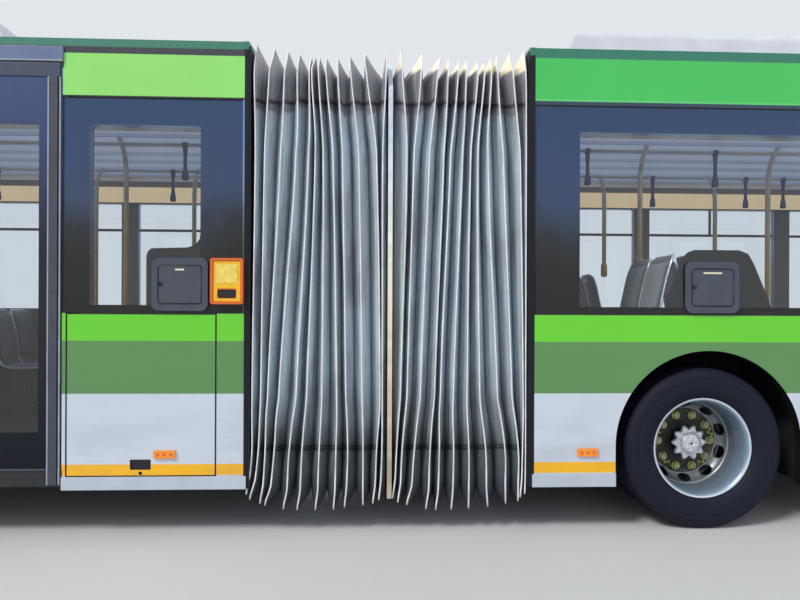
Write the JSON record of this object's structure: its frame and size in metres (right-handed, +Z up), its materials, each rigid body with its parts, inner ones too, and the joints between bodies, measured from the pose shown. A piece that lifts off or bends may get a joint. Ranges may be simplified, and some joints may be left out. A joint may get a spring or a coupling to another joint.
{
  "type": "articulated bus",
  "caption": "Low-floor articulated city bus: two hollow saloon sections joined by a turntable under a pleated bellows, with steered front wheels and twin rear wheels.",
  "frame": {"origin": "on the ground, under the middle of the bus's length and width", "axes": "+X towards the front, +Y towards the left side, +Z up"},
  "size_m": [17.9508, 3.03, 3.08],
  "materials": {
    "green_paint": "banded green and white coach paint, gloss",
    "white_paint": "white coach paint, gloss",
    "roof_paint": "off-white coach paint with a teal side rail",
    "dark_metal": "dark satin enamel",
    "chassis_metal": "black chassis enamel, matt",
    "silver_rim": "silver enamel, satin",
    "glazing": "tinted safety glass with a black edge",
    "screen_glass": "lightly tinted laminated glass",
    "tyre_rubber": "worn tyre rubber",
    "bellows_fabric": "coated blue-grey fabric, weathered",
    "hoop_metal": "cream enamelled aluminium",
    "seat_shell": "grey moulded shells",
    "yellow_tube": "ochre-yellow enamelled tube",
    "black_plastic": "black grained plastic",
    "orange_box": "orange moulded plastic",
    "lamp_lens": "amber lens",
    "engine_iron": "dark cast iron"
  },
  "bodies": {
    "front_section": {"bellows_front": "bellows_fabric", "bellows_rear": "bellows_fabric", "cab_fittings": "black_plastic", "front_axle": "chassis_metal", "front_door": "dark_metal", "front_flap": "black_plastic", "front_floor": "chassis_metal", "front_handrails": "yellow_tube", "front_lamps": "lamp_lens", "front_pods": "white_paint", "front_portal": "dark_metal", "front_roof": "roof_paint", "front_seats": "seat_shell", "front_wall_left": "green_paint", "front_wall_right": "green_paint", "front_windows": "glazing", "middle_axle": "chassis_metal", "middle_door": "dark_metal", "mirrors": "black_plastic", "nose": "white_paint", "turntable_base": "chassis_metal", "windscreen": "screen_glass"},
    "rear_section": {"rear_wall_left": "green_paint", "rear_wall_right": "green_paint", "rear_roof": "roof_paint", "rear_pods": "white_paint", "rear_floor": "chassis_metal", "tail": "white_paint", "rear_windows": "glazing", "rear_door": "dark_metal", "rear_portal": "dark_metal", "turntable_head": "chassis_metal", "rear_seats": "seat_shell", "rear_handrails": "yellow_tube", "rear_lamps": "lamp_lens", "rear_flap": "black_plastic", "wall_box": "orange_box", "engine": "engine_iron", "drive_axle": "chassis_metal"},
    "middle_hoop": {"middle_hoop": "hoop_metal"},
    "knuckle_left": {"knuckle_left": "chassis_metal"},
    "knuckle_right": {"knuckle_right": "chassis_metal"},
    "side_lid": {"side_lid": "green_paint"},
    "engine_lid": {"engine_lid": "white_paint"},
    "cab_door": {"cab_door": "black_plastic"},
    "front_wheel_left": {"front_tyre_left": "tyre_rubber", "front_rim_left": "silver_rim"},
    "front_wheel_right": {"front_tyre_right": "tyre_rubber", "front_rim_right": "silver_rim"},
    "middle_wheel_left": {"middle_tyre_left": "tyre_rubber", "middle_rim_left": "silver_rim"},
    "middle_wheel_right": {"middle_tyre_right": "tyre_rubber", "middle_rim_right": "silver_rim"},
    "drive_wheel_left": {"drive_tyre_left": "tyre_rubber", "drive_rim_left": "silver_rim"},
    "drive_wheel_right": {"drive_tyre_right": "tyre_rubber", "drive_rim_right": "silver_rim"}
  },
  "joints": [
    {"name": "articulation", "type": "hinge", "parent": "front_section", "child": "rear_section", "pos_m": [-1.46, 0, 0.25], "axis": [0, 0, 1], "range_deg": [-47, 47], "deforming": ["bellows_front", "bellows_rear"]},
    {"name": "hoop_turn", "type": "hinge", "parent": "front_section", "child": "middle_hoop", "pos_m": [-1.46, 0, 0.25], "axis": [0, 0, 1], "range_deg": [-23.6, 23.6]},
    {"name": "steer_left", "type": "hinge", "parent": "front_section", "child": "knuckle_left", "pos_m": [6.265, 1.017, 0.4785], "axis": [0, 0, 1], "range_deg": [-42, 42]},
    {"name": "steer_right", "type": "hinge", "parent": "front_section", "child": "knuckle_right", "pos_m": [6.265, -1.017, 0.4785], "axis": [0, 0, 1], "range_deg": [-42, 42]},
    {"name": "side_lid_swing", "type": "hinge", "parent": "rear_section", "child": "side_lid", "pos_m": [-2.868, -1.269, 1.258], "axis": [-1, 0, 0], "range_deg": [0, 85]},
    {"name": "engine_lid_swing", "type": "hinge", "parent": "rear_section", "child": "engine_lid", "pos_m": [-8.9625, 0, 1.387], "axis": [0, 1, 0], "range_deg": [0, 85]},
    {"name": "cab_door_swing", "type": "hinge", "parent": "front_section", "child": "cab_door", "pos_m": [7.165, 0.16, 0.9], "axis": [0, 0, -1], "range_deg": [0, 95]},
    {"name": "front_left_roll", "type": "hinge", "parent": "knuckle_left", "child": "front_wheel_left", "pos_m": [6.265, 0.962, 0.4785], "axis": [0, 1, 0], "continuous": true},
    {"name": "front_right_roll", "type": "hinge", "parent": "knuckle_right", "child": "front_wheel_right", "pos_m": [6.265, -0.962, 0.4785], "axis": [0, 1, 0], "continuous": true},
    {"name": "middle_left_roll", "type": "hinge", "parent": "front_section", "child": "middle_wheel_left", "pos_m": [0.411, 0.962, 0.4785], "axis": [0, 1, 0], "continuous": true},
    {"name": "middle_right_roll", "type": "hinge", "parent": "front_section", "child": "middle_wheel_right", "pos_m": [0.411, -0.962, 0.4785], "axis": [0, 1, 0], "continuous": true},
    {"name": "drive_left_roll", "type": "hinge", "parent": "rear_section", "child": "drive_wheel_left", "pos_m": [-5.625, 0.962, 0.4785], "axis": [0, 1, 0], "continuous": true},
    {"name": "drive_right_roll", "type": "hinge", "parent": "rear_section", "child": "drive_wheel_right", "pos_m": [-5.625, -0.962, 0.4785], "axis": [0, 1, 0], "continuous": true}
  ],
  "couplings": [
    {"joint": "hoop_turn", "follows": "articulation", "ratio": 0.5},
    {"joint": "steer_right", "follows": "steer_left", "ratio": 1}
  ]
}
